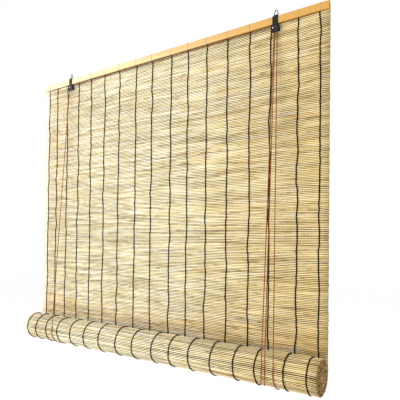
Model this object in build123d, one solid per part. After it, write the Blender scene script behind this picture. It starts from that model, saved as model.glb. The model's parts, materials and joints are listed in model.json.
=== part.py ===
from build123d import *
import math
import os

# Reed roll-up blind, in millimetres. X runs along the blind, Y from the room towards the window, Z up.
# The origin lies midway between the two wire bails, at the height where a hook bears on them.

# Mat, battens and roll
blind_width = 1200.0
mat_thickness = 4.5
mat_y = 4.0                      # middle plane of the hanging mat
batten_height = 21.5
batten_depth = 8.0
batten_top_z = -19.5
batten_edge_radius = 0.8
mat_top_gap = 2.0                # from the batten's top down to the mat's first reed
roll_radius = 49.0
roll_axis_z = -1034.0
mat_foot_rise = 12.0             # from the roll's axis up to the hanging mat's foot
roll_room = 1.4                  # between the hanging mat and the roll
slot_clearance = 0.3             # between the bottom batten and the first turn
bottom_batten_tilt = 25.0        # how the bottom batten stands in the roll, in degrees

# Warp threads, counted from the left end: the ties are spaced by hand, so no two gaps agree
first_thread_x = -572.0
thread_gaps = (51, 63, 67, 71, 73, 76, 82, 74, 82, 71, 73, 76, 76, 66, 83, 63)
thread_width = 2.0
thread_depth = 1.0
front_strand_rise = 26.0         # from the roll's axis up to the front strands' feet
front_strand_gap = 0.2           # between the batten and the strands
back_strand_gap = 0.5
ring_gap = 0.1
binding_radius = 0.7
binding_gap = 0.05               # between the binding thread and the front strands
binding_drop = 0.9               # from the batten's lower edge down to the binding thread's middle
lashing_width = 1.5
lashing_depth = 0.8
lashing_end_y = -0.8             # the tie ends under the batten, clear of the warp threads

# Hangers, of folded sheet steel
hanger_x = {"left": -435.0, "right": 446.0}
sheet = 1.0
sheet_gap = 0.1
strap_half_width = 8.75
flare_half_width = 13.5
flare_bottom_z = -65.5
flare_corner_radius = 3.0
box_top_z = -44.5                # side walls and rear plate start below the binding thread
rear_plate_bottom_z = -63.5
rear_plate_y = 0.35
rear_leg_bottom_z = -49.0
window_top_z = -45.5
window_bottom_z = -60.0
barrel_z = -14.3
barrel_radius = 2.2
barrel_length = 7.6
barrel_bore = 1.18
through_housing = (-12.0, 5.0)   # Y span of the holes drilled right through a housing

# Bails, of bent wire
wire_radius = 1.1
bail_half_base = 7.8
bail_bend_radius = 2.4

# Pulleys and rivets
pulley_z = -51.4
pulley_y = -3.0
pulley_track = 3.2               # radius of the cord's centre line round the pulley
pulley_rim = 4.2
pulley_root = 1.65
pulley_bore = 0.95
pulley_half_width = 2.7
groove_half_width = 2.2
groove_root_half_width = 1.1
rivet_radius = 0.88
rivet_play = 0.02
rivet_head_radius = 2.0
rivet_head_height = 0.9
rivet_tail_radius = 1.4
rivet_tail_height = 0.3
left_pulley_dx = -6.4
cross_pulley_dx = -7.4
lift_pulley_dx = 1.7

# Cord lock in the right hanger: a roller in slanting slots and a fixed post
roller_radius = 2.0
roller_stub_radius = 0.8
roller_dx = -7.6
roller_z = -58.1
roller_travel = (-1.2, -2.6)     # X and Z from locked to open
slot_play = 0.1
post_dx = 0.95

# Cords
cord_radius = 1.3
anchor_knot_radius = 2.4
anchor_knot_top_z = -42.5
anchor_knot_bottom_z = -48.0
end_knot_radius = 2.6
end_knot_height = 6.0

mat_front_y = mat_y - mat_thickness / 2
mat_back_y = mat_y + mat_thickness / 2
batten_front_y = mat_front_y - batten_depth
batten_bottom_z = batten_top_z - batten_height
mat_top_z = batten_top_z - mat_top_gap
roll_axis_y = mat_back_y - roll_radius
strap_front_y = batten_front_y - sheet_gap - sheet
strap_back_y = mat_back_y + sheet_gap + sheet
strap_top_z = batten_top_z + sheet_gap + sheet
box_front_y = strap_front_y + sheet
thread_x = [first_thread_x + sum(thread_gaps[:i]) for i in range(len(thread_gaps) + 1)]

# Cord routes: a list of points, and the bend radius at each point between the ends.
# The left cord is tied behind the left hanger, goes down behind the mat, under the roll, up its front,
# over the left pulley, across to the right hanger and down to hang free. The right cord goes the same
# way over its own pulley. Each is cut where it passes from a fixed stretch to a moving one.
cord_routes = {
    "left_cord_rear": ([(-435.0, 9.8, -48.1), (-421.0, 7.9, -1012.9)], []),
    "left_cord_sling": (
        [(-421.0, 7.9, -1013.0), (-421.0, 7.9, -1055.0), (-421.0, -21.8, -1084.65),
         (-421.0, -65.1, -1084.65), (-421.0, -95.3, -1051.6), (-421.0, -91.2, -1007.5)],
        [45.0, 45.0, 44.0, 44.0]),
    "left_cord_front": ([(-421.0, -91.2, -1007.4), (-444.3, -4.3, -65.6)], []),
    "left_cord_crossing": (
        [(-444.3, -4.3, -65.5), (-444.6, -2.8, -48.2), (441.8, -2.8, -48.2), (441.8, -4.3, -65.5)],
        [pulley_track, pulley_track]),
    "left_pull_cord": ([(441.8, -4.3, -65.6), (451.0, -91.2, -1007.4)], []),
    "left_pull_cord_end": (
        [(451.0, -91.2, -1007.5), (451.1, -93.3, -1031.0), (451.3, -93.4, -1064.0)], [150.0]),
    "right_cord_rear": ([(446.0, 9.8, -48.1), (485.0, 7.9, -1012.9)], []),
    "right_cord_sling": (
        [(485.0, 7.9, -1013.0), (485.0, 7.9, -1055.0), (485.0, -21.8, -1084.65),
         (485.0, -65.1, -1084.65), (485.0, -95.3, -1051.6), (485.0, -91.2, -1007.5)],
        [45.0, 45.0, 44.0, 44.0]),
    "right_cord_front": ([(485.0, -91.2, -1007.4), (451.3, -4.3, -65.6)], []),
    "right_cord_lock_run": (
        [(451.3, -4.3, -65.5), (450.9, -2.8, -48.2), (444.5, -2.8, -48.2), (444.5, -4.3, -65.5)],
        [3.15, 3.15]),
    "right_pull_cord": ([(444.5, -4.3, -65.6), (460.3, -91.2, -1007.4)], []),
    "right_pull_cord_end": (
        [(460.3, -91.2, -1007.5), (460.6, -93.3, -1031.0), (461.4, -93.4, -1064.0)], [150.0]),
}
end_knots = {"left_pull_knot": (451.3, -93.4, -1064.1), "right_pull_knot": (461.4, -93.4, -1064.1)}


def block(x_span, y_span, z_span):
    """A box between two values on each axis."""
    spans = (x_span, y_span, z_span)
    size = [high - low for low, high in spans]
    middle = [(high + low) / 2 for low, high in spans]
    return Pos(*middle) * Box(*size)


def along_x(radius, x_span, y, z):
    """A round bar along X."""
    low, high = x_span
    return Pos((low + high) / 2, y, z) * Rot(0, 90, 0) * Cylinder(radius, high - low)


def along_y(radius, y_span, x, z):
    """A round bar along Y."""
    low, high = y_span
    return Pos(x, (low + high) / 2, z) * Rot(90, 0, 0) * Cylinder(radius, high - low)


def plate(points, y_span):
    """A flat plate across Y, with its outline as X and Z points."""
    low, high = y_span
    outline = Plane.XZ.offset(-low) * Polyline(*points, close=True)
    return extrude(make_face(outline), amount=high - low, dir=(0, 1, 0))


# Mat, battens and roll

def head_batten():
    bar = block((-blind_width / 2, blind_width / 2), (batten_front_y, mat_front_y),
                (batten_bottom_z, batten_top_z))
    return fillet(bar.edges().filter_by(Axis.X), batten_edge_radius)


def hanging_mat():
    """The mat behind the batten and down to the roll, which it meets along a line at the roll's back."""
    slab = block((-blind_width / 2, blind_width / 2), (mat_front_y, mat_back_y),
                 (roll_axis_z + mat_foot_rise, mat_top_z))
    room = along_x(roll_radius + roll_room, (-blind_width, blind_width), roll_axis_y, roll_axis_z)
    return slab - room


def warp_threads():
    """Each warp thread's front and back strand, from the batten to the roll."""
    strands = []
    for x in thread_x:
        x_span = (x - thread_width / 2, x + thread_width / 2)
        strands.append(block(x_span, (mat_front_y - thread_depth, mat_front_y),
                             (roll_axis_z + front_strand_rise, batten_bottom_z - front_strand_gap)))
        strands.append(block(x_span, (mat_back_y, mat_back_y + thread_depth),
                             (roll_axis_z + mat_foot_rise, batten_bottom_z - back_strand_gap)))
    return Compound(strands)


def top_binding_thread():
    """The thread along the batten's lower edge, in front of the warp threads."""
    y = mat_front_y - thread_depth - binding_radius - binding_gap
    return along_x(binding_radius, (thread_x[0], thread_x[-1]), y, batten_bottom_z - binding_drop)


def batten_lashings():
    """A tie over the batten at each warp thread, open towards the mat."""
    front = batten_front_y - lashing_depth
    back = mat_back_y + lashing_depth
    top = batten_top_z + lashing_depth
    foot = batten_bottom_z - lashing_depth
    profile = [(front, foot), (front, top), (back, top), (back, batten_bottom_z),
               (mat_back_y, batten_bottom_z), (mat_back_y, batten_top_z),
               (batten_front_y, batten_top_z), (batten_front_y, batten_bottom_z),
               (lashing_end_y, batten_bottom_z), (lashing_end_y, foot)]
    ties = []
    for x in thread_x:
        outline = Plane.YZ.offset(x - lashing_width / 2) * Polyline(*profile, close=True)
        ties.append(extrude(make_face(outline), amount=lashing_width, dir=(1, 0, 0)))
    return Compound(ties)


def bottom_batten(clearance=0.0):
    bar = Box(blind_width, batten_height + 2 * clearance, batten_depth + 2 * clearance)
    return Pos(0, roll_axis_y, roll_axis_z) * Rot(bottom_batten_tilt, 0, 0) * bar


def rolled_mat():
    """All the turns of the rolled part of the mat, wound on the bottom batten."""
    turns = along_x(roll_radius, (-blind_width / 2, blind_width / 2), roll_axis_y, roll_axis_z)
    return turns - bottom_batten(slot_clearance)


def roll_threads():
    """The warp threads' outermost turn round the roll."""
    inner = roll_radius + ring_gap
    rings = []
    for x in thread_x:
        span = (x - thread_width / 2, x + thread_width / 2)
        ring = along_x(inner + thread_depth, span, roll_axis_y, roll_axis_z)
        ring -= along_x(inner, (x - thread_width, x + thread_width), roll_axis_y, roll_axis_z)
        rings.append(ring)
    return Compound(rings)


# Hangers

def flare_outline(top_z, bottom_z, inset=0.0):
    """The housing's outline between two heights, as X and Z points about the hanger's middle."""
    slope = (flare_half_width - strap_half_width) / (batten_bottom_z - flare_bottom_z)
    top = strap_half_width + slope * (batten_bottom_z - top_z) - inset
    bottom = strap_half_width + slope * (batten_bottom_z - bottom_z) - inset
    return [(-top, top_z), (top, top_z), (bottom, bottom_z), (-bottom, bottom_z)]


def hanger_housing(rivet_dx, with_lock):
    """One folded sheet: rear leg, bridge, front strap, and a flared box for the pulleys."""
    across = (-strap_half_width, strap_half_width)
    shell = block(across, (strap_back_y - sheet, strap_back_y), (rear_leg_bottom_z, strap_top_z))
    shell += block(across, (strap_front_y, strap_back_y), (strap_top_z - sheet, strap_top_z))
    shell += block(across, (strap_front_y, box_front_y), (batten_bottom_z, strap_top_z))
    front = plate(flare_outline(batten_bottom_z, flare_bottom_z), (strap_front_y, box_front_y))
    corners = front.edges().filter_by(Axis.Y).sort_by(Axis.Z)[:2]
    shell += fillet(corners, flare_corner_radius)
    sides = plate(flare_outline(box_top_z, rear_plate_bottom_z), (strap_front_y, rear_plate_y + sheet))
    sides -= plate(flare_outline(box_top_z + 1, rear_plate_bottom_z - 1, inset=sheet),
                   (box_front_y, rear_plate_y))
    sides -= block((-20, 20), (box_front_y + 0.5, rear_plate_y - 0.2),
                   (window_bottom_z, window_top_z))
    shell += sides
    shell += block((-barrel_length / 2, barrel_length / 2), (-sheet / 2, sheet / 2),
                   (strap_top_z - sheet / 2, barrel_z))
    shell += along_x(barrel_radius, (-barrel_length / 2, barrel_length / 2), 0, barrel_z)
    shell -= along_x(barrel_bore, (-barrel_length, barrel_length), 0, barrel_z)
    for dx in rivet_dx:
        shell -= along_y(rivet_radius + rivet_play, through_housing, dx, pulley_z)
    if with_lock:
        shell -= along_y(rivet_radius + rivet_play, through_housing, post_dx, roller_z)
        shell -= roller_slot()
    return shell


def roller_slot():
    """The slanting slot, right through the front and the rear plate."""
    radius = roller_stub_radius + slot_play
    dx, dz = roller_travel
    length = math.hypot(dx, dz)
    turn = math.degrees(math.atan2(dz, dx))
    slot = Pos(length / 2, 0, 0) * Box(length, 2 * radius, 30)
    slot += Cylinder(radius, 30)
    slot += Pos(length, 0, 0) * Cylinder(radius, 30)
    return Pos(roller_dx, 0, roller_z) * Rot(0, -turn, 0) * Rot(90, 0, 0) * slot


def bail():
    """A triangle of round wire, whose base turns in the housing's barrel.
    Its corners are rounded, so the sides meet above the bend whose inside a hook bears on."""
    share = bail_bend_radius / bail_half_base
    reach = wire_radius - barrel_z - bail_bend_radius
    spare = (1 - share**2) * (reach**2 - bail_bend_radius**2)
    apex_z = barrel_z + (reach + math.sqrt(reach**2 - spare)) / (1 - share**2)
    path = FilletPolyline((bail_half_base, 0, barrel_z), (0, 0, apex_z), (-bail_half_base, 0, barrel_z),
                          radius=bail_bend_radius, close=True)
    section = Plane(origin=path @ 0, z_dir=path % 0) * Circle(wire_radius)
    return sweep(section, path=path)


def pulley():
    """A grooved wheel turning about Y."""
    profile = [(pulley_bore, -pulley_half_width), (pulley_rim, -pulley_half_width),
               (pulley_rim, -groove_half_width), (pulley_root, -groove_root_half_width),
               (pulley_root, groove_root_half_width), (pulley_rim, groove_half_width),
               (pulley_rim, pulley_half_width), (pulley_bore, pulley_half_width)]
    outline = Plane.XY * Polyline(*profile, close=True)
    return Pos(0, pulley_y, pulley_z) * revolve(make_face(outline), Axis.Y)


def rivet(z):
    """A domed rivet through the housing's front and rear plates."""
    back_y = rear_plate_y + sheet
    shank = along_y(rivet_radius, (strap_front_y, back_y), 0, z)
    sphere_radius = (rivet_head_radius**2 + rivet_head_height**2) / (2 * rivet_head_height)
    centre_y = strap_front_y - rivet_head_height + sphere_radius
    dome = Pos(0, centre_y, z) * Sphere(sphere_radius)
    dome &= block((-5, 5), (strap_front_y - 5, strap_front_y), (z - 5, z + 5))
    tail = along_y(rivet_tail_radius, (back_y, back_y + rivet_tail_height), 0, z)
    return shank + dome + tail


def lock_roller():
    """The roller that pinches the pull cords, with a stub at each end."""
    body = along_y(roller_radius, (box_front_y + 0.2, rear_plate_y - 0.2), roller_dx, roller_z)
    stubs = along_y(roller_stub_radius, (strap_front_y - 0.5, rear_plate_y + sheet), roller_dx, roller_z)
    return body + stubs


# Cords

def cord(name):
    """One stretch of cord: straight runs joined by tangent arcs."""
    points, radii = cord_routes[name]
    path = FilletPolyline(*points, radius=radii) if radii else Line(*points)
    section = Plane(origin=path @ 0, z_dir=path % 0) * Circle(cord_radius)
    tube = sweep(section, path=path)
    share = tube.volume / (math.pi * cord_radius**2 * path.length)
    print(f"{name}: {path.length:.1f} mm long, bend radii {radii}, volume share {share:.4f}")
    return tube


def anchor_knot(side):
    z_middle = (anchor_knot_top_z + anchor_knot_bottom_z) / 2
    height = anchor_knot_top_z - anchor_knot_bottom_z
    knot = Cylinder(anchor_knot_radius, height)
    return Pos(hanger_x[side], strap_back_y + anchor_knot_radius + 0.05, z_middle) * knot


def end_knot(place):
    x, y, z = place
    return Pos(x, y, z - end_knot_height / 2) * Cylinder(end_knot_radius, end_knot_height)


def all_parts():
    left = Pos(hanger_x["left"], 0, 0)
    right = Pos(hanger_x["right"], 0, 0)
    parts = {
        "head_batten": head_batten(),
        "hanging_mat": hanging_mat(),
        "warp_threads": warp_threads(),
        "top_binding_thread": top_binding_thread(),
        "batten_lashings": batten_lashings(),
        "bottom_batten": bottom_batten(),
        "rolled_mat": rolled_mat(),
        "roll_threads": roll_threads(),
        "left_hanger_housing": left * hanger_housing([left_pulley_dx], with_lock=False),
        "left_bail": left * bail(),
        "left_pulley": left * Pos(left_pulley_dx, 0, 0) * pulley(),
        "left_pulley_rivet": left * Pos(left_pulley_dx, 0, 0) * rivet(pulley_z),
        "right_hanger_housing": right * hanger_housing([cross_pulley_dx, lift_pulley_dx], with_lock=True),
        "right_bail": right * bail(),
        "cross_pulley": right * Pos(cross_pulley_dx, 0, 0) * pulley(),
        "cross_pulley_rivet": right * Pos(cross_pulley_dx, 0, 0) * rivet(pulley_z),
        "lift_pulley": right * Pos(lift_pulley_dx, 0, 0) * pulley(),
        "lift_pulley_rivet": right * Pos(lift_pulley_dx, 0, 0) * rivet(pulley_z),
        "lock_roller": right * lock_roller(),
        "lock_post": right * Pos(post_dx, 0, 0) * rivet(roller_z),
        "left_anchor_knot": anchor_knot("left"),
        "right_anchor_knot": anchor_knot("right"),
    }
    for name in cord_routes:
        parts[name] = cord(name)
    for name, place in end_knots.items():
        parts[name] = end_knot(place)
    return parts


os.makedirs("parts", exist_ok=True)
for node, solid in all_parts().items():
    export_step(solid, f"parts/{node}.step")
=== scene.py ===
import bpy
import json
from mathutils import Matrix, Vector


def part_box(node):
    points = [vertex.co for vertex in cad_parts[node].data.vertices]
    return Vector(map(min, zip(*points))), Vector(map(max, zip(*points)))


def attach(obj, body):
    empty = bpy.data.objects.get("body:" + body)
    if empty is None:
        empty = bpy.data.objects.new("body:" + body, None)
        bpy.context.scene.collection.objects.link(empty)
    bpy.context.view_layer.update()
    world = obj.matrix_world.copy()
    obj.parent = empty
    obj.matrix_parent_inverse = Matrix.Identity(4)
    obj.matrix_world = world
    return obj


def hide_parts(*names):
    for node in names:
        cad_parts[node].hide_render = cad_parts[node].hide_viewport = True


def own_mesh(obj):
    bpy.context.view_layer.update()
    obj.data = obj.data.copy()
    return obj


bl_info = {
    "name": "Reed Roll-up Blind",
    "version": (1, 0, 0),
    "blender": (4, 5, 0),
    "location": "3D View > Sidebar > Blind",
    "description": "Builds the reeds, threads, cords and finishes of a roll-up blind round its frame",
    "category": "Object",
}

import json
import math

import bpy
import numpy as np
from bpy.props import FloatProperty, FloatVectorProperty, IntProperty, PointerProperty
from mathutils import Matrix, Vector

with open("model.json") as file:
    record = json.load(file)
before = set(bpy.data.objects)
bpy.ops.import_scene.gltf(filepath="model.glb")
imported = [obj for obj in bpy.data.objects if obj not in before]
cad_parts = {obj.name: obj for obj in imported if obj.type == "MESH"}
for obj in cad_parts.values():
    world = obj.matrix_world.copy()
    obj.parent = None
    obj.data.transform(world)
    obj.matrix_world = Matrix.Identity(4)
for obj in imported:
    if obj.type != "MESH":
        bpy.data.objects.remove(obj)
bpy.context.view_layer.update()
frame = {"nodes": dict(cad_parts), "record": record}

# Places read from the frame, in metres
MAT_LOW, MAT_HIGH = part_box("hanging_mat")
ROLL_LOW, ROLL_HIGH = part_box("rolled_mat")
BATTEN_LOW, BATTEN_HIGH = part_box("head_batten")
BINDING_LOW, BINDING_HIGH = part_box("top_binding_thread")
MAT_Y = (MAT_LOW.y + MAT_HIGH.y) / 2
ROLL_Y = (ROLL_LOW.y + ROLL_HIGH.y) / 2
ROLL_Z = (ROLL_LOW.z + ROLL_HIGH.z) / 2
HALF_WIDTH = MAT_HIGH.x
OUTER_TURN = MAT_Y - ROLL_Y          # radius of the outer turn's reed centres
THREAD_EDGES = sorted({round(v.co.x, 4) for v in frame["nodes"]["roll_threads"].data.vertices})
THREAD_X = [(a + b) / 2 for a, b in zip(THREAD_EDGES[::2], THREAD_EDGES[1::2])]

# Cord routes of the part, in metres. The long runs are pulled straight, so each has a point near its ends.
CORD_DIAMETER = 0.0026
CORD_ROUTES = {
    "left_cord_rear": [(-0.4350, 0.0098, -0.0481), (-0.4210, 0.0079, -1.0129)],
    "left_cord_front": [(-0.4210, -0.0912, -1.0074), (-0.4443, -0.0043, -0.0656)],
    "left_pull_cord": [(0.4418, -0.0043, -0.0656), (0.4510, -0.0912, -1.0074)],
    "right_cord_rear": [(0.4460, 0.0098, -0.0481), (0.4850, 0.0079, -1.0129)],
    "right_cord_front": [(0.4850, -0.0912, -1.0074), (0.4513, -0.0043, -0.0656)],
    "right_pull_cord": [(0.4445, -0.0043, -0.0656), (0.4603, -0.0912, -1.0074)],
}
CORD_END_ROUTES = {
    "left_pull_cord_end":
        [(0.4510, -0.0912, -1.0075), (0.4511, -0.0933, -1.0310), (0.4513, -0.0934, -1.0640)],
    "right_pull_cord_end":
        [(0.4603, -0.0912, -1.0075), (0.4606, -0.0933, -1.0310), (0.4614, -0.0934, -1.0640)],
}


def linear(code):
    """A linear colour from a six-digit code."""
    parts = [int(code[i:i + 2], 16) / 255 for i in (0, 2, 4)]
    return tuple(c / 12.92 if c <= 0.04045 else ((c + 0.055) / 1.055) ** 2.4 for c in parts)


def colour(name, words, code):
    return FloatVectorProperty(name=name, description=words, subtype="COLOR", size=3,
                               min=0.0, max=1.0, default=linear(code))


def length(name, words, value):
    return FloatProperty(name=name, description=words, default=value, min=0.0,
                         unit="LENGTH", precision=4)


class BlindSizes(bpy.types.PropertyGroup):
    """Sizes of the reeds, threads and ties."""
    reed_pitch: length("Reed pitch", "From one reed to the next down the mat", 0.0049)
    reed_wander: length("Reed wander", "How far bundles of reeds stray from level", 0.0009)
    reed_end_scatter: length("End scatter", "How unevenly the reeds end", 0.0009)
    turn_pitch: length("Turn pitch", "From one turn of the roll to the next", 0.00475)
    thread_radius: length("Thread radius", "Half the thickness of a warp thread", 0.0018)
    thread_wander: length("Thread wander", "How far a warp thread strays from straight", 0.0013)
    tie_radius: length("Tie radius", "Half the thickness of the ties over the batten", 0.00045)
    reed_segments: IntProperty(name="Reed segments", description="Lengths that a reed bends in",
                               default=40, min=4, max=80)


class BlindColours(bpy.types.PropertyGroup):
    """Colours of the reeds, wood, threads, cords and metal."""
    reed_pale: colour("Pale reed", "The palest reeds", "F2EACC")
    reed_straw: colour("Straw reed", "Most of the reeds", "DFD1A0")
    reed_tan: colour("Tan reed", "Stained and older reeds", "BF9458")
    reed_old: colour("Old reed", "The oldest, brownest reeds", "94763C")
    # The reed joint colour also paints shade: it darkens each reed towards its top and bottom sides, in the
    # grooves where reeds meet.
    reed_dark: colour("Reed joint", "The joints, scars and grooves on a reed", "3A2A14")
    reed_end: colour("Reed end", "The cut end of a reed", "804208")
    # Across the batten these two woods also carry painted light: pale at its left end, warm at its right.
    wood_pale: colour("Pale wood", "The batten's early wood", "E6D2A0")
    wood_warm: colour("Warm wood", "The batten's late wood", "C4933E")
    thread: colour("Warp thread", "The dark threads that tie the reeds", "070504")
    tie: colour("Tie", "The pale ties over the batten", "DCCBA0")
    binding: colour("Binding", "The brown thread along the batten", "5A3A18")
    cord: colour("Cord", "The braided lift cord", "8E5226")
    cord_shade: colour("Cord shade", "The cord between its strands", "542C12")
    enamel: colour("Enamel", "The hangers' black enamel", "0D1010")
    floor: colour("Floor", "The studio floor", "FEFEFE")


# How the pieces are made
BEND_KNOTS = 14            # places along a reed where its bend and swell are drawn
BUNDLE_ROWS = 5            # neighbouring reeds that stray together
THREAD_TIGHTNESS = 0.55    # share of its radius by which a thread stands off the reeds
THREAD_TWIST = 0.0003      # how far a thread steps aside at each reed
THREAD_DIP = 0.0009        # how far a thread sinks between two hanging reeds
ROLLED_DIP = 0.0007        # how far a thread sinks between two rolled reeds
SHOWN_TURNS = 1.02         # turns of the roll whose reeds are seen along their length
THREADED_TURNS = 1.01      # turns of the roll that have a thread over them
ROUND = 80                 # degrees up to which thread, ties and knots are shaded as round


# Hand tools

def deselect():
    if bpy.context.object and bpy.context.object.mode != "OBJECT":
        bpy.ops.object.mode_set(mode="OBJECT")
    bpy.ops.object.select_all(action="DESELECT")


def pick(obj):
    deselect()
    obj.select_set(True)
    bpy.context.view_layer.objects.active = obj


def settle(obj, name):
    """Puts the object at the origin, unturned and unscaled, with its place in its mesh."""
    pick(obj)
    bpy.ops.object.transform_apply(location=True, rotation=True, scale=True)
    obj.name = name
    obj.data.name = name
    return obj


def read_points(mesh):
    points = np.zeros(len(mesh.vertices) * 3)
    mesh.vertices.foreach_get("co", points)
    return points.reshape(-1, 3)


def write_points(mesh, points):
    mesh.vertices.foreach_set("co", points.ravel())
    mesh.update()


def note(mesh, name, values):
    """Keeps one number for each point of the mesh, for its material to read."""
    field = mesh.attributes.get(name) or mesh.attributes.new(name, "FLOAT", "POINT")
    field.data.foreach_set("value", np.broadcast_to(values, len(mesh.vertices)).astype(np.float32))


def copy_of(blank, name):
    """A copy with its own mesh."""
    twin = blank.copy()
    twin.data = blank.data.copy()
    twin.name = name
    bpy.context.scene.collection.objects.link(twin)
    return twin


def join(pieces, name):
    deselect()
    for piece in pieces:
        piece.select_set(True)
    bpy.context.view_layer.objects.active = pieces[0]
    bpy.ops.object.join()
    return settle(bpy.context.object, name)


def discard(obj):
    mesh = obj.data
    bpy.data.objects.remove(obj)
    bpy.data.meshes.remove(mesh)


def smooth(obj, angle=50.0):
    pick(obj)
    bpy.ops.object.shade_smooth_by_angle(angle=math.radians(angle))


def finish_piece(obj, body, skin=None):
    if skin:
        obj.data.materials.clear()
        obj.data.materials.append(skin)
    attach(obj, body)


def shorten(obj):
    """Gives the piece its own copy of its mesh."""
    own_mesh(obj)


def tubes(name, paths, radius, sides=1, cyclic=False):
    """Round threads along lists of points, as one mesh."""
    curve = bpy.data.curves.new(name, "CURVE")
    curve.dimensions = "3D"
    curve.bevel_depth = radius
    curve.bevel_resolution = sides
    curve.use_fill_caps = True
    for path in paths:
        spline = curve.splines.new("POLY")
        spline.points.add(len(path) - 1)
        spline.points.foreach_set("co", np.c_[path, np.ones(len(path))].ravel())
        spline.use_cyclic_u = cyclic
    obj = bpy.data.objects.new(name, curve)
    bpy.context.scene.collection.objects.link(obj)
    pick(obj)
    bpy.ops.object.convert(target="MESH")
    return settle(bpy.context.object, name)


# Materials

def node(tree, kind, settings=None, **sockets):
    """A shader node with its settings, and its sockets linked or set."""
    made = tree.nodes.new(kind)
    for key, value in (settings or {}).items():
        setattr(made, key, value)
    for key, value in sockets.items():
        socket = made.inputs[int(key[1:])] if key[0] == "i" and key[1:].isdigit() else \
            made.inputs[key.replace("_", " ")]
        if isinstance(value, bpy.types.NodeSocket):
            tree.links.new(value, socket)
        else:
            socket.default_value = value
    return made


def mix(tree, share, first, second, blend="MIX"):
    made = node(tree, "ShaderNodeMix", {"data_type": "RGBA", "blend_type": blend},
                i0=share, i6=first, i7=second)
    return made.outputs[2]


def step(tree, value, low, high, to_low=0.0, to_high=1.0):
    made = node(tree, "ShaderNodeMapRange", {"interpolation_type": "SMOOTHSTEP"}, Value=value,
                From_Min=low, From_Max=high, To_Min=to_low, To_Max=to_high)
    return made.outputs["Result"]


def maths(tree, operation, first, second=0.0, third=0.0):
    return node(tree, "ShaderNodeMath", {"operation": operation}, i0=first, i1=second, i2=third).outputs[0]


def material(name, **constants):
    made = bpy.data.materials.new(name)
    made.use_nodes = True
    tree = made.node_tree
    tree.nodes.clear()
    shader = tree.nodes.new("ShaderNodeBsdfPrincipled")
    output = tree.nodes.new("ShaderNodeOutputMaterial")
    tree.links.new(shader.outputs[0], output.inputs[0])
    for key, value in constants.items():
        shader.inputs[key.replace("_", " ")].default_value = value
    place = tree.nodes.new("ShaderNodeTexCoord").outputs["Object"]
    return made, tree, shader, place


def feed(tree, shader, **links):
    for key, socket in links.items():
        tree.links.new(socket, shader.inputs[key.replace("_", " ")])


def bump(tree, height, strength, distance):
    return node(tree, "ShaderNodeBump", Strength=strength, Distance=distance, Height=height).outputs[0]


def rgba(value):
    return (*value, 1.0)


def new_group(name, inputs, outputs):
    tree = bpy.data.node_groups.new(name, "ShaderNodeTree")
    for label, kind, value in inputs:
        socket = tree.interface.new_socket(label, in_out="INPUT", socket_type=kind)
        if value is not None:
            socket.default_value = value
    for label, kind in outputs:
        tree.interface.new_socket(label, in_out="OUTPUT", socket_type=kind)
    return tree, tree.nodes.new("NodeGroupInput").outputs, tree.nodes.new("NodeGroupOutput").inputs


def build_long_grain():
    """Streaks that run along X, as in a reed's skin or a planed batten."""
    tree, given, result = new_group(
        "long_grain",
        [("Place", "NodeSocketVector", None), ("Along", "NodeSocketFloat", 6.0),
         ("Across", "NodeSocketFloat", 400.0), ("Detail", "NodeSocketFloat", 3.0)],
        [("Streak", "NodeSocketFloat")])
    scale = node(tree, "ShaderNodeCombineXYZ", X=given["Along"], Y=given["Across"], Z=given["Across"])
    stretched = node(tree, "ShaderNodeMapping", Vector=given["Place"], Scale=scale.outputs[0])
    noise = node(tree, "ShaderNodeTexNoise", Vector=stretched.outputs[0], Scale=1.0,
                 Detail=given["Detail"], Roughness=0.55)
    tree.links.new(noise.outputs[0], result["Streak"])
    return tree


def build_yarn_twist():
    """The slanting strands of a twisted thread or a braided cord."""
    tree, given, result = new_group(
        "yarn_twist",
        [("Place", "NodeSocketVector", None), ("Strands", "NodeSocketFloat", 60.0)],
        [("Strand", "NodeSocketFloat")])
    wave = node(tree, "ShaderNodeTexWave", {"bands_direction": "DIAGONAL"}, Vector=given["Place"],
                Scale=given["Strands"], Distortion=1.2, Detail=1.0, Detail_Scale=4.0)
    tree.links.new(wave.outputs[1], result["Strand"])
    return tree


def build_handling():
    """Uneven gloss, as metal and plastic get from hands and dust."""
    tree, given, result = new_group(
        "handling",
        [("Place", "NodeSocketVector", None), ("Size", "NodeSocketFloat", 300.0),
         ("Low", "NodeSocketFloat", 0.3), ("High", "NodeSocketFloat", 0.6)],
        [("Roughness", "NodeSocketFloat"), ("Mark", "NodeSocketFloat")])
    noise = node(tree, "ShaderNodeTexNoise", Vector=given["Place"], Scale=given["Size"], Detail=4.0)
    spread = node(tree, "ShaderNodeMapRange", Value=noise.outputs[0], From_Min=0.3, From_Max=0.7,
                  To_Min=given["Low"], To_Max=given["High"])
    tree.links.new(spread.outputs[0], result["Roughness"])
    tree.links.new(noise.outputs[0], result["Mark"])
    return tree


GROUPS = {}


def group(tree, name, **sockets):
    builders = {"long_grain": build_long_grain, "yarn_twist": build_yarn_twist, "handling": build_handling}
    if name not in GROUPS:
        GROUPS[name] = builders[name]()
    made = tree.nodes.new("ShaderNodeGroup")
    made.node_tree = GROUPS[name]
    for key, value in sockets.items():
        if isinstance(value, bpy.types.NodeSocket):
            tree.links.new(value, made.inputs[key])
        else:
            made.inputs[key].default_value = value
    return made


FINISHES = {}


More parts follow.
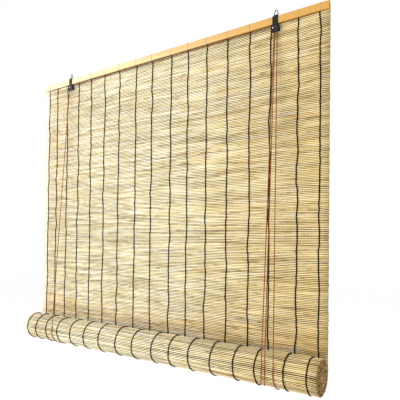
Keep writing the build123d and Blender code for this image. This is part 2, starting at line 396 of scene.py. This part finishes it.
def reed_skin():
    c = bpy.context.scene.blind_colours
    made, tree, shader, place = material("reed_skin", Coat_Weight=0.05, Coat_Roughness=0.45,
                                         IOR=1.45, Specular_IOR_Level=0.35)
    tone = node(tree, "ShaderNodeAttribute", {"attribute_name": "reed_tone"}).outputs["Fac"]
    shift = node(tree, "ShaderNodeAttribute", {"attribute_name": "reed_shift"}).outputs["Fac"]
    side = node(tree, "ShaderNodeAttribute", {"attribute_name": "reed_groove_shade"}).outputs["Fac"]
    along = node(tree, "ShaderNodeSeparateXYZ", Vector=place).outputs[0]
    stretch = along_reed(tree, along, tone, shift, 9.0)
    worn = along_reed(tree, along, shift, tone, 14.0)
    gap = along_reed(tree, along, tone, shift, 5.0, 31.0)
    streak = group(tree, "long_grain", Place=place, Along=9.0, Across=300.0, Detail=4.0).outputs[0]
    fibre = group(tree, "long_grain", Place=place, Along=25.0, Across=2600.0, Detail=2.0).outputs[0]
    patch = group(tree, "long_grain", Place=place, Along=4.0, Across=55.0, Detail=3.0).outputs[0]
    base = mix(tree, step(tree, stretch, 0.38, 0.62), rgba(c.reed_pale), rgba(c.reed_straw))
    stain = maths(tree, "MULTIPLY", step(tree, patch, 0.50, 0.72, 0.0, 0.6),
                  step(tree, stretch, 0.40, 0.62))
    base = mix(tree, stain, base, rgba(c.reed_tan))
    base = mix(tree, step(tree, worn, 0.56, 0.72, 0.0, 0.65), base, rgba(c.reed_old))
    spot = maths(tree, "PINGPONG",
                 maths(tree, "MULTIPLY_ADD", along, 3.1, maths(tree, "MULTIPLY", shift, 9.0)), 0.5)
    joint = maths(tree, "MULTIPLY", step(tree, spot, 0.001, 0.0035, 0.7, 0.0), step(tree, tone, 0.3, 0.8))
    base = mix(tree, joint, base, rgba(c.reed_dark))
    base = mix(tree, step(tree, fibre, 0.35, 0.75, 0.0, 0.2), base, rgba(c.reed_dark))
    # Painted shade: the reed darkens to the joint colour towards its top and bottom sides, where it meets
    # its neighbours; the streaks and the slow change along the reed vary how wide this shade is.
    edge = maths(tree, "MULTIPLY_ADD", streak, 0.25, side)
    edge = maths(tree, "ADD", edge, step(tree, gap, 0.38, 0.62, -0.16, 0.16))
    groove_shade = step(tree, edge, 0.62, 0.95, 0.0, 0.97)
    base = mix(tree, groove_shade, base, rgba(c.reed_dark))
    height = maths(tree, "MULTIPLY_ADD", joint, 0.6, fibre)
    feed(tree, shader, Base_Color=bleach_and_painted_light(tree, place, base), Normal=bump(tree, height, 0.35, 0.0003),
         Roughness=step(tree, streak, 0.3, 0.7, 0.42, 0.62))
    return made


def along_reed(tree, along, first, second, pace, offset=0.0):
    """A slow change along each reed that differs from one reed to the next."""
    own = node(tree, "ShaderNodeCombineXYZ", X=maths(tree, "MULTIPLY_ADD", along, pace, offset),
               Y=maths(tree, "MULTIPLY", first, 90.0), Z=maths(tree, "MULTIPLY", second, 70.0))
    return node(tree, "ShaderNodeTexNoise", Vector=own.outputs[0], Scale=1.0, Detail=3.0,
                Roughness=0.6).outputs[0]


def bleach_and_painted_light(tree, place, base):
    """Paler towards the left end, partly from sun bleaching and partly as painted light that falls off
    towards the right end, where the reeds are warmer and darker. The palest strip at the very left end is a
    painted highlight, and the warm darkening of the reeds just above the roll is painted shade."""
    parts = node(tree, "ShaderNodeSeparateXYZ", Vector=place).outputs
    along, height = parts[0], parts[2]
    roll_top = ROLL_HIGH.z
    base = mix(tree, step(tree, along, -0.58, -0.34, 0.45, 0.0), base, (1.0, 0.84, 0.72, 1.0), "MULTIPLY")
    # Painted highlight: the very left end of the reeds is paled, as if the lamp washes it out.
    base = mix(tree, step(tree, along, -0.6, -0.55, 0.6, 0.0), base, (0.93, 0.90, 0.80, 1.0))
    # Partly sun bleaching, partly painted light: the reeds grow warmer and darker towards the right end, as
    # the light falls off.
    base = mix(tree, step(tree, along, -0.12, 0.70, 0.0, 1.0), base, (0.92, 0.78, 0.52, 1.0), "MULTIPLY")
    # Painted shade: the reeds just above the roll are warmed and darkened where the mat meets the roll,
    # fading out about 11 cm above the roll's top.
    near = maths(tree, "MULTIPLY", step(tree, height, roll_top - 0.004, roll_top + 0.004),
                 step(tree, height, roll_top + 0.01, roll_top + 0.11, 0.5, 0.0))
    return mix(tree, near, base, (1.0, 0.80, 0.55, 1.0), "MULTIPLY")


def reed_end():
    c = bpy.context.scene.blind_colours
    made, tree, shader, place = material("reed_end", Roughness=0.85, Specular_IOR_Level=0.15)
    tone = node(tree, "ShaderNodeAttribute", {"attribute_name": "reed_tone"}).outputs["Fac"]
    speck = node(tree, "ShaderNodeTexNoise", Vector=place, Scale=900.0, Detail=2.0).outputs[0]
    base = mix(tree, step(tree, tone, 0.5, 0.75), rgba(c.reed_end), rgba(c.wood_warm))
    base = mix(tree, step(tree, tone, 0.30, 0.42, 1.0, 0.0), base, rgba(c.reed_dark))
    base = mix(tree, step(tree, speck, 0.46, 0.62, 0.0, 0.9), base, rgba(c.reed_dark))
    feed(tree, shader, Base_Color=base, Normal=bump(tree, speck, 0.5, 0.0004))
    return made


def batten_wood():
    c = bpy.context.scene.blind_colours
    made, tree, shader, place = material("batten_wood", Coat_Weight=0.05, Coat_Roughness=0.35)
    grain = group(tree, "long_grain", Place=place, Along=2.2, Across=190.0, Detail=4.0).outputs[0]
    pore = group(tree, "long_grain", Place=place, Along=30.0, Across=2200.0, Detail=2.0).outputs[0]
    along = node(tree, "ShaderNodeSeparateXYZ", Vector=place).outputs[0]
    # Partly grain, partly painted light: the batten runs from the pale wood at its left end to the warm
    # wood at its right, as the light falls off.
    grain_and_light_falloff = step(tree, maths(tree, "MULTIPLY_ADD", grain, 0.5, along), -0.45, 0.75)
    base = mix(tree, grain_and_light_falloff, rgba(c.wood_pale), rgba(c.wood_warm))
    base = mix(tree, step(tree, pore, 0.55, 0.8, 0.0, 0.25), base, rgba(c.reed_dark))
    end = step(tree, maths(tree, "ABSOLUTE", along), HALF_WIDTH - 0.0006, HALF_WIDTH - 0.0002, 0.0, 0.8)
    base = mix(tree, end, base, rgba(c.reed_end))
    feed(tree, shader, Base_Color=base, Normal=bump(tree, pore, 0.15, 0.0003),
         Roughness=step(tree, grain, 0.3, 0.7, 0.38, 0.55))
    return made


def yarn(name, light, dark, strands, sheen):
    made, tree, shader, place = material(name, Roughness=0.9, Specular_IOR_Level=0.08, Sheen_Weight=sheen,
                                         Sheen_Roughness=0.5)
    strand = group(tree, "yarn_twist", Place=place, Strands=strands).outputs[0]
    fuzz = node(tree, "ShaderNodeTexNoise", Vector=place, Scale=2500.0, Detail=2.0).outputs[0]
    lit = step(tree, maths(tree, "MULTIPLY_ADD", fuzz, 0.4, strand), 0.15, 0.85)
    base = mix(tree, lit, rgba(dark), rgba(light))
    feed(tree, shader, Base_Color=base, Normal=bump(tree, strand, 0.7, 0.0005))
    return made


def metal(name, base, metallic, low, high, specular=0.5):
    made, tree, shader, place = material(name, Metallic=metallic, Specular_IOR_Level=specular)
    handling = group(tree, "handling", Place=place, Size=320.0, Low=low, High=high)
    light = tuple(min(1.0, v * 1.4 + 0.004) for v in base)
    shade = mix(tree, step(tree, handling.outputs[1], 0.45, 0.75), rgba(base), rgba(light))
    feed(tree, shader, Base_Color=shade, Roughness=handling.outputs[0],
         Normal=bump(tree, handling.outputs[1], 0.12, 0.0003))
    return made


def finish(name):
    """A finish by its name, made on first use."""
    c = bpy.context.scene.blind_colours
    makers = {
        "reed": reed_skin,
        "reed_end": reed_end,
        "wood": batten_wood,
        "thread": lambda: yarn("warp_thread", tuple(2.2 * v for v in c.thread), tuple(c.thread), 95.0, 0.0),
        "tie": lambda: yarn("pale_tie", c.tie, tuple(0.45 * v for v in c.tie), 240.0, 0.05),
        "cord": lambda: yarn("lift_cord", c.cord, c.cord_shade, 160.0, 0.05),
        # Painted shade: the cord that crosses under the batten has half the cord's light colour, standing
        # in for the batten's shadow.
        "cord_in_shade": lambda: yarn("shaded_cord", tuple(0.5 * v for v in c.cord), c.cord_shade, 160.0, 0.05),
        "binding": lambda: yarn("binding_thread", tuple(1.5 * v for v in c.binding), c.binding, 240.0, 0.0),
        "enamel": lambda: metal("black_enamel", c.enamel, 0.0, 0.38, 0.55, 0.2),
        "zinc": lambda: metal("zinc_wire", (0.022, 0.022, 0.023), 0.3, 0.4, 0.6, 0.15),
        "nylon": lambda: metal("black_nylon", (0.015, 0.015, 0.016), 0.0, 0.45, 0.65, 0.3),
        "dark_rivet": lambda: metal("dark_rivet", (0.05, 0.05, 0.05), 0.6, 0.35, 0.5, 0.3),
        "nickel": lambda: metal("nickel_rivet", (0.78, 0.78, 0.76), 1.0, 0.14, 0.3),
    }
    if name not in FINISHES:
        FINISHES[name] = makers[name]()
    return FINISHES[name]


# Reeds

def reed_blank(radius, segments):
    """One straight reed along X, as wide as the mat, with a hollow at each cut end."""
    deselect()
    bpy.ops.mesh.primitive_cylinder_add(vertices=8, radius=radius, depth=2 * HALF_WIDTH,
                                        rotation=(0, math.pi / 2, 0))
    blank = settle(bpy.context.object, "reed_blank")
    mesh = blank.data
    bpy.ops.object.mode_set(mode="EDIT")
    bpy.ops.mesh.select_mode(type="FACE")
    bpy.ops.mesh.select_all(action="DESELECT")
    bpy.ops.object.mode_set(mode="OBJECT")
    for face in mesh.polygons:
        face.select = abs(face.normal.x) > 0.9
    bpy.ops.object.mode_set(mode="EDIT")
    bpy.ops.mesh.inset(thickness=radius * 0.45)
    bpy.ops.mesh.inset(thickness=radius * 0.02, depth=-radius * 0.8)
    if segments > 1:
        bpy.ops.mesh.select_mode(type="EDGE")
        bpy.ops.mesh.select_all(action="DESELECT")
        bpy.ops.object.mode_set(mode="OBJECT")
        for edge in mesh.edges:
            a, b = (mesh.vertices[i].co for i in edge.vertices)
            edge.select = abs(a.x - b.x) > HALF_WIDTH
        bpy.ops.object.mode_set(mode="EDIT")
        bpy.ops.mesh.subdivide(number_cuts=segments - 1)
    bpy.ops.object.mode_set(mode="OBJECT")
    mesh.materials.append(finish("reed"))
    mesh.materials.append(finish("reed_end"))
    for face in mesh.polygons:
        middle = face.center
        cut = abs(middle.x) > HALF_WIDTH - radius and math.hypot(middle.y, middle.z) < radius * 0.85
        face.material_index = int(cut)
        face.use_smooth = not cut
    return blank


class Bundles:
    """How neighbouring reeds stray together: heights on a coarse net, read between its knots."""

    def __init__(self, rows, rng, spread):
        self.columns = np.array([-HALF_WIDTH, *THREAD_X, HALF_WIDTH])
        self.net = rng.normal(0, spread, (rows // BUNDLE_ROWS + 2, len(self.columns)))

    def at(self, row, x):
        low, share = divmod(row / BUNDLE_ROWS, 1)
        low = int(low)
        heights = self.net[low] * (1 - share) + self.net[low + 1] * share
        return np.interp(x, self.columns, heights)


def natural_reed(blank, name, rng, stray, thickness, scatter, grooves=(0.94, 1.16)):
    """A copy of the blank that bends, swells and ends as a real reed does. Returns it and its offsets."""
    reed = copy_of(blank, name)
    points = read_points(reed.data)
    x = points[:, 0].copy()
    knots = np.linspace(-HALF_WIDTH, HALF_WIDTH, BEND_KNOTS)
    swell = np.interp(x, knots, rng.normal(1.0, 0.05, BEND_KNOTS))
    width = thickness * rng.uniform(1.01, 1.09)
    groove_shade = rng.uniform(*grooves)
    # This value grows towards the reed's top and bottom sides, times a random strength; the reed skin
    # paints it as shade in the grooves between reeds.
    note(reed.data, "reed_groove_shade", groove_shade * np.abs(points[:, 2]) / np.abs(points[:, 2]).max())
    points[:, 1] *= swell * rng.uniform(0.9, 1.0)
    points[:, 2] *= swell * width
    points[:, 1] += np.interp(x, knots, rng.normal(0, 0.00022, BEND_KNOTS))
    points[:, 2] += np.interp(x, knots, rng.normal(0, 0.00015, BEND_KNOTS)) + stray
    left, right = rng.normal(0, scatter, 2)
    points[:, 0] += np.where(x < 0, left, right) * np.abs(x) / HALF_WIDTH
    note(reed.data, "reed_tone", rng.rand())
    note(reed.data, "reed_shift", rng.rand())
    return reed, points


def hanging_rows():
    """Heights of the hanging reeds' middles, from the top down."""
    pitch = bpy.context.scene.blind_sizes.reed_pitch
    top = MAT_HIGH.z - pitch / 2
    foot = ROLL_Z + pitch
    return np.linspace(top, foot, int(round((top - foot) / pitch)) + 1)


class BLIND_OT_hanging_reeds(bpy.types.Operator):
    """Lays the reeds of the hanging mat one below another"""
    bl_idname = "blind.hanging_reeds"
    bl_label = "Hanging reeds"

    def execute(self, context):
        sizes = context.scene.blind_sizes
        rng = np.random.RandomState(11)
        rows = hanging_rows()
        bundles = Bundles(len(rows), rng, sizes.reed_wander)
        blank = reed_blank(sizes.reed_pitch / 2, sizes.reed_segments)
        x = read_points(blank.data)[:, 0]
        reeds = []
        for row, z in enumerate(rows):
            steady = min(1.0, row / 6, (len(rows) - 1 - row) / 6)
            stray = bundles.at(row, x) * steady
            reed, points = natural_reed(blank, f"reed_{row}", rng, stray, 1.0,
                                       sizes.reed_end_scatter * np.array((1.0, 0.4)))
            points += (0, MAT_Y, z)
            write_points(reed.data, points)
            reeds.append(reed)
        discard(blank)
        mat = join(reeds, "hanging_reeds")
        finish_piece(mat, "head")
        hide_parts("hanging_mat")
        shorten(mat)
        return {"FINISHED"}


def winding():
    """Angle and place of each reed in the roll, from the mat inwards, as (angle, y, z).
    Each turn keeps its radius round the front and tucks under the next turn behind it."""
    sizes = bpy.context.scene.blind_sizes
    tilt = math.radians(25)     # of the flat bottom batten in the roll's middle
    core = 0.0135               # radius at which the innermost turn stops
    flatness = 0.0066           # how far the innermost turn is flattened by the batten
    tuck_start = 0.74           # share of a turn after which it goes under the next
    angle, reeds = 0.0, []
    while True:
        turn, share = divmod(angle / math.tau, 1)
        tuck = min(1.0, max(0.0, (share - tuck_start) / (1 - tuck_start)))
        reach = OUTER_TURN - sizes.turn_pitch * (turn + tuck * tuck * (3 - 2 * tuck))
        if reach < core:
            return reeds
        depth = (OUTER_TURN - reach) / (OUTER_TURN - core)
        y, z = reach * math.cos(angle), -reach * math.sin(angle)
        flat = z * math.cos(tilt) - y * math.sin(tilt)
        squeeze = flat * (flatness * depth ** 2 / reach)
        y += squeeze * math.sin(tilt)
        z -= squeeze * math.cos(tilt)
        reeds.append((angle, ROLL_Y + y, ROLL_Z + z))
        angle += sizes.reed_pitch / reach


class BLIND_OT_rolled_reeds(bpy.types.Operator):
    """Winds the rest of the reeds round the bottom batten"""
    bl_idname = "blind.rolled_reeds"
    bl_label = "Rolled reeds"

    def execute(self, context):
        sizes = context.scene.blind_sizes
        rng = np.random.RandomState(23)
        spiral = winding()
        shown = reed_blank(sizes.reed_pitch / 2, sizes.reed_segments)
        hidden = reed_blank(sizes.reed_pitch / 2, 1)
        bundles = Bundles(len(spiral), rng, sizes.reed_wander * 0.6)
        reeds = []
        for row, (angle, y, z) in enumerate(spiral):
            blank = shown if angle < math.tau * SHOWN_TURNS else hidden
            x = read_points(blank.data)[:, 0]
            steady = min(1.0, row / 5) if blank is shown else 0.0
            # The rolled reeds get a wider range of painted groove shade.
            reed, points = natural_reed(blank, f"rolled_{row}", rng, bundles.at(row, x) * steady, 0.90,
                                        sizes.reed_end_scatter * 0.5, grooves=(0.76, 1.32))
            turn = Matrix.Rotation(-angle, 3, "X")
            points[:, 1] *= 0.93
            points = points @ np.array(turn.transposed())
            points += (0, y, z)
            write_points(reed.data, points)
            reeds.append(reed)
        discard(shown)
        discard(hidden)
        roll = join(reeds, "rolled_reeds")
        finish_piece(roll, "roll")
        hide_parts("rolled_mat")
        return {"FINISHED"}


# Threads

def thread_reach(sizes):
    """From a reed's middle to the middle of a thread pulled tight over it."""
    return sizes.reed_pitch / 2 + sizes.thread_radius * THREAD_TIGHTNESS


def thread_stray(rng, count, x):
    """How far the warp thread at x strays sideways at each reed: slow bends, and small jogs at the ties.
    The threads near the left edge are the loosest."""
    looseness = np.interp(x, (-HALF_WIDTH, HALF_WIDTH), (1.5, 0.9))
    wander = bpy.context.scene.blind_sizes.thread_wander * looseness
    knots = np.linspace(0, count - 1, max(3, count // 9))
    slow = np.interp(np.arange(count), knots, rng.normal(0, wander, len(knots)))
    ties = np.arange(0, count + 3, 3)
    jogs = np.interp(np.arange(count), ties, rng.normal(0, wander * 0.45, len(ties)))
    return slow + jogs


class BLIND_OT_warp_threads(bpy.types.Operator):
    """Ties the hanging reeds with a thread in front and one behind"""
    bl_idname = "blind.warp_threads"
    bl_label = "Warp threads"

    def execute(self, context):
        sizes = context.scene.blind_sizes
        rng = np.random.RandomState(37)
        rows = hanging_rows()
        tied = rows[rows < BATTEN_LOW.z - 0.0005]
        reach = thread_reach(sizes)
        paths = []
        for x in THREAD_X:
            stray = x + thread_stray(rng, len(tied), x)
            for side in (-1, 1):
                path = []
                for row, z in enumerate(tied):
                    jog = THREAD_TWIST if row % 2 else -THREAD_TWIST
                    path.append((stray[row] + jog * side, MAT_Y + side * reach, z))
                    if row + 1 < len(tied):
                        middle = (stray[row] + stray[row + 1]) / 2
                        dipped = MAT_Y + side * (reach - THREAD_DIP)
                        path.append((middle, dipped, z - sizes.reed_pitch / 2))
                paths.append(path)
        threads = tubes("tied_warp_threads", paths, sizes.thread_radius)
        smooth(threads, ROUND)
        finish_piece(threads, "head", finish("thread"))
        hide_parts("warp_threads")
        shorten(threads)
        return {"FINISHED"}


class BLIND_OT_roll_threads(bpy.types.Operator):
    """Carries the warp threads round the outer turn of the roll"""
    bl_idname = "blind.roll_threads"
    bl_label = "Threads round the roll"

    def execute(self, context):
        sizes = context.scene.blind_sizes
        rng = np.random.RandomState(41)
        outer = [r for r in winding() if r[0] < math.tau * THREADED_TURNS]
        reach = thread_reach(sizes)
        paths = []
        for x in THREAD_X:
            stray = x + thread_stray(rng, len(outer), x) * 0.8
            stray[0] = x
            path = []
            for row, (angle, y, z) in enumerate(outer):
                out = Vector((y - ROLL_Y, z - ROLL_Z)).normalized() * reach
                path.append((stray[row], y + out.x, z + out.y))
                if row + 1 < len(outer):
                    following = outer[row + 1]
                    near = out * (1 - ROLLED_DIP / reach)
                    path.append(((stray[row] + stray[row + 1]) / 2, (y + following[1]) / 2 + near.x,
                                 (z + following[2]) / 2 + near.y))
            paths.append(path)
        threads = tubes("rolled_warp_threads", paths, sizes.thread_radius)
        smooth(threads, ROUND)
        finish_piece(threads, "roll", finish("thread"))
        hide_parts("roll_threads")
        return {"FINISHED"}


class BLIND_OT_batten_ties(bpy.types.Operator):
    """Ties the mat to the head batten, knots each warp thread and binds the knots below the batten"""
    bl_idname = "blind.batten_ties"
    bl_label = "Batten ties"

    def execute(self, context):
        sizes = context.scene.blind_sizes
        rng = np.random.RandomState(53)
        self.add_ties(sizes, rng)
        self.add_binding(rng)
        self.add_knots(rng)
        return {"FINISHED"}

    def add_ties(self, sizes, rng):
        gap = sizes.tie_radius
        front, back = BATTEN_LOW.y - gap, MAT_HIGH.y + gap
        top, foot = BATTEN_HIGH.z + gap, BATTEN_LOW.z - gap
        ease = 0.0009
        loop = [(front, foot + ease), (front, top - ease), (front + ease, top), (back - ease, top),
                (back, top - ease), (back, foot + ease), (back - ease, foot), (front + ease, foot)]
        paths = []
        for x in THREAD_X:
            for turn in (-1, 1):
                lean = rng.normal(0, 0.0003)
                shift = turn * sizes.tie_radius * 1.05
                paths.append([(x + shift + lean * (i % 3), y, z) for i, (y, z) in enumerate(loop)])
        ties = tubes("batten_tie_loops", paths, sizes.tie_radius, cyclic=True)
        smooth(ties, ROUND)
        finish_piece(ties, "head", finish("tie"))
        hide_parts("batten_lashings")

    def add_binding(self, rng):
        radius = (BINDING_HIGH.z - BINDING_LOW.z) / 2
        y, z = (BINDING_LOW.y + BINDING_HIGH.y) / 2, (BINDING_LOW.z + BINDING_HIGH.z) / 2
        count = 240
        x = np.linspace(BINDING_LOW.x, BINDING_HIGH.x, count)
        knots = np.linspace(BINDING_LOW.x, BINDING_HIGH.x, 40)
        droop = np.interp(x, knots, np.abs(rng.normal(0, 0.0005, 40)))
        path = np.c_[x, np.full(count, y), z - droop]
        binding = tubes("binding_thread", [path], radius)
        smooth(binding, ROUND)
        finish_piece(binding, "head", finish("binding"))
        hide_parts("top_binding_thread")

    def add_knots(self, rng):
        deselect()
        bpy.ops.mesh.primitive_uv_sphere_add(segments=12, ring_count=8, radius=0.0016)
        blank = settle(bpy.context.object, "knot_blank")
        points = read_points(blank.data)
        around = np.arctan2(points[:, 1], points[:, 0])
        ridge = 1 + 0.14 * np.sin(3 * around + points[:, 2] * 2400)
        write_points(blank.data, points * ridge[:, None] * (1.0, 0.75, 1.25))
        knots = []
        for k, x in enumerate(THREAD_X):
            knot = copy_of(blank, f"knot_{k}")
            place = (x + rng.normal(0, 0.0004), BINDING_LOW.y - 0.0004, BATTEN_LOW.z - 0.0012)
            write_points(knot.data, read_points(knot.data) * rng.uniform(0.9, 1.15) + place)
            knots.append(knot)
        discard(blank)
        knots = join(knots, "warp_thread_knots")
        smooth(knots, ROUND)
        finish_piece(knots, "head", finish("thread"))


# Cords

def cord_line(name, route):
    """A cord's smooth line: a NURBS spline with the route's points as its control points."""
    curve = bpy.data.curves.new(name, "CURVE")
    curve.dimensions = "3D"
    curve.resolution_u = 10
    spline = curve.splines.new("NURBS")
    spline.points.add(len(route) - 1)
    for point, place in zip(spline.points, route):
        point.co = (*place, 1.0)
    spline.order_u = 3
    spline.use_endpoint_u = True
    obj = bpy.data.objects.new(name, curve)
    bpy.context.scene.collection.objects.link(obj)
    return obj


def cord_tube(name, route):
    """A mesh tube that follows the spline, and the points of the spline that it follows."""
    line = cord_line(name, route)
    bare = bpy.data.meshes.new_from_object(line.evaluated_get(bpy.context.evaluated_depsgraph_get()))
    path = [tuple(v.co) for v in bare.vertices]
    bpy.data.meshes.remove(bare)
    line.data.bevel_depth = CORD_DIAMETER / 2
    line.data.bevel_resolution = 4
    line.data.use_fill_caps = True
    pick(line)
    bpy.ops.object.convert(target="MESH")
    tube = settle(bpy.context.object, name)
    smooth(tube, 60)
    return tube, path


def pulled_straight(route):
    """A straight run with a point six diameters from each end."""
    start, end = (Vector(p) for p in route)
    inset = (end - start).normalized() * CORD_DIAMETER * 6
    return [tuple(p) for p in (start, start + inset, end - inset, end)]


class BLIND_OT_cords(bpy.types.Operator):
    """Hangs the lift cords and the pull cords, and ties their knots"""
    bl_idname = "blind.cords"
    bl_label = "Cords"

    def execute(self, context):
        for node_name in ("left_pull_knot", "right_pull_knot", "left_anchor_knot", "right_anchor_knot"):
            body = "carriage" if "pull" in node_name else "head"
            self.add_knot(node_name, body)
        for node_name, route in CORD_ROUTES.items():
            tube, path = cord_tube(f"{node_name}_run", pulled_straight(route))
            finish_piece(tube, "head", finish("cord"))
            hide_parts(node_name)
            shorten(tube)
        for node_name, route in CORD_END_ROUTES.items():
            tube, path = cord_tube(f"{node_name}_run", route)
            finish_piece(tube, "carriage", finish("cord"))
            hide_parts(node_name)
        return {"FINISHED"}

    def add_knot(self, node_name, body):
        """A tight knot with the cord's turns showing as slanting ridges."""
        low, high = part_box(node_name)
        middle, half = (low + high) / 2, (high - low) / 2
        deselect()
        bpy.ops.mesh.primitive_uv_sphere_add(segments=32, ring_count=24, radius=1.0)
        knot = settle(bpy.context.object, f"{node_name}_tied")
        points = read_points(knot.data)
        around = np.arctan2(points[:, 1], points[:, 0])
        ridge = 0.90 + 0.10 * np.abs(np.sin(1.5 * around + points[:, 2] * 2.4))
        waist = 1 - 0.12 * np.exp(-(points[:, 2] / 0.35) ** 2)
        points *= (ridge * waist)[:, None]
        write_points(knot.data, points * (half.x, half.y, half.z) + tuple(middle))
        smooth(knot, ROUND)
        finish_piece(knot, body, finish("cord"))
        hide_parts(node_name)
        return knot


# Frame parts

class BLIND_OT_frame_finishes(bpy.types.Operator):
    """Gives the battens, hangers, bails, pulleys, rivets and fixed cords their finishes"""
    bl_idname = "blind.frame_finishes"
    bl_label = "Frame finishes"

    def execute(self, context):
        by_slot = {"batten_wood": "wood", "dark_steel": "enamel", "zinc_wire": "zinc",
                   "black_nylon": "nylon", "bright_rivet": "nickel", "brown_cord": "cord",
                   "reed": "reed", "dark_thread": "thread", "pale_thread": "tie"}
        own = {"lift_pulley_rivet": "dark_rivet", "lock_post": "dark_rivet",
               # The crossing cord runs under the batten and gets the darkened cord as painted shade.
               "left_cord_crossing": "cord_in_shade"}
        for part in frame["record"]["subparts"]:
            obj = frame["nodes"][part["node"]]
            obj.data.materials.clear()
            obj.data.materials.append(finish(own.get(part["node"], by_slot[part["material_slot"]])))
        return {"FINISHED"}


# Studio

class BLIND_OT_studio(bpy.types.Operator):
    """Sets the pale floor, the soft lights and the camera"""
    bl_idname = "blind.studio"
    bl_label = "Studio"

    def execute(self, context):
        self.add_floor(context)
        self.add_lights(context)
        self.add_camera(context)
        return {"FINISHED"}

    def add_floor(self, context):
        deselect()
        bpy.ops.mesh.primitive_plane_add(size=30, location=(0, 0, -2.1))
        floor = settle(bpy.context.object, "studio_floor")
        made, tree, shader, place = material("studio_floor", Roughness=0.9)
        shader.inputs["Base Color"].default_value = rgba(context.scene.blind_colours.floor)
        floor.data.materials.append(made)

    def add_lights(self, context):
        world = bpy.data.worlds.new("studio_air")
        context.scene.world = world
        world.use_nodes = True
        background = world.node_tree.nodes["Background"]
        background.inputs["Color"].default_value = (1.0, 1.0, 1.0, 1.0)
        background.inputs["Strength"].default_value = 1.0
        for name, place, size, power in (
                ("key_light", (-1.9, -2.3, 0.6), 1.6, 60.0),
                ("fill_light", (0.1, -1.5, -1.6), 0.9, 11.0)):
            bpy.ops.object.light_add(type="AREA", location=place)
            light = bpy.context.object
            light.name = name
            light.data.size = size
            light.data.energy = power
            aim = Vector((-0.3, 0.0, -0.6)) - Vector(place)
            light.rotation_euler = aim.to_track_quat("-Z", "Y").to_euler()

    def add_camera(self, context):
        bpy.ops.object.camera_add(location=(0.973, -1.247, -0.689))
        camera = bpy.context.object
        camera.name = "studio_camera"
        turn = Matrix.Rotation(math.radians(37.1), 4, "Z")
        tip = Matrix.Rotation(math.radians(90 + 1.03), 4, "X")
        lean = Matrix.Rotation(math.radians(0.79), 4, "Z")
        camera.rotation_euler = (turn @ tip @ lean).to_euler()
        camera.data.sensor_width = 36.0
        camera.data.lens = 40.63
        camera.data.shift_x = 0.10
        camera.data.shift_y = 0.089
        context.scene.camera = camera
        context.scene.view_settings.view_transform = "Standard"


OPERATORS = (
    BLIND_OT_studio,
    BLIND_OT_frame_finishes,
    BLIND_OT_cords,
    BLIND_OT_hanging_reeds,
    BLIND_OT_rolled_reeds,
    BLIND_OT_warp_threads,
    BLIND_OT_roll_threads,
    BLIND_OT_batten_ties,
)


class BLIND_PT_maker(bpy.types.Panel):
    """Lists the blind's sizes, colours and making steps"""
    bl_idname = "BLIND_PT_maker"
    bl_label = "Roll-up blind"
    bl_space_type = "VIEW_3D"
    bl_region_type = "UI"
    bl_category = "Blind"

    def draw(self, context):
        for group_name in ("blind_sizes", "blind_colours"):
            settings = getattr(context.scene, group_name)
            for key in settings.__annotations__:
                self.layout.prop(settings, key)
        for operator in OPERATORS:
            self.layout.operator(operator.bl_idname)


CLASSES = (BlindSizes, BlindColours, *OPERATORS, BLIND_PT_maker)


def register():
    for cls in CLASSES:
        bpy.utils.register_class(cls)
    bpy.types.Scene.blind_sizes = PointerProperty(type=BlindSizes)
    bpy.types.Scene.blind_colours = PointerProperty(type=BlindColours)


def unregister():
    del bpy.types.Scene.blind_colours
    del bpy.types.Scene.blind_sizes
    for cls in reversed(CLASSES):
        bpy.utils.unregister_class(cls)


def main():
    register()
    for operator in OPERATORS:
        family, name = operator.bl_idname.split(".")
        getattr(getattr(bpy.ops, family), name)()


if __name__ == "__main__":
    main()
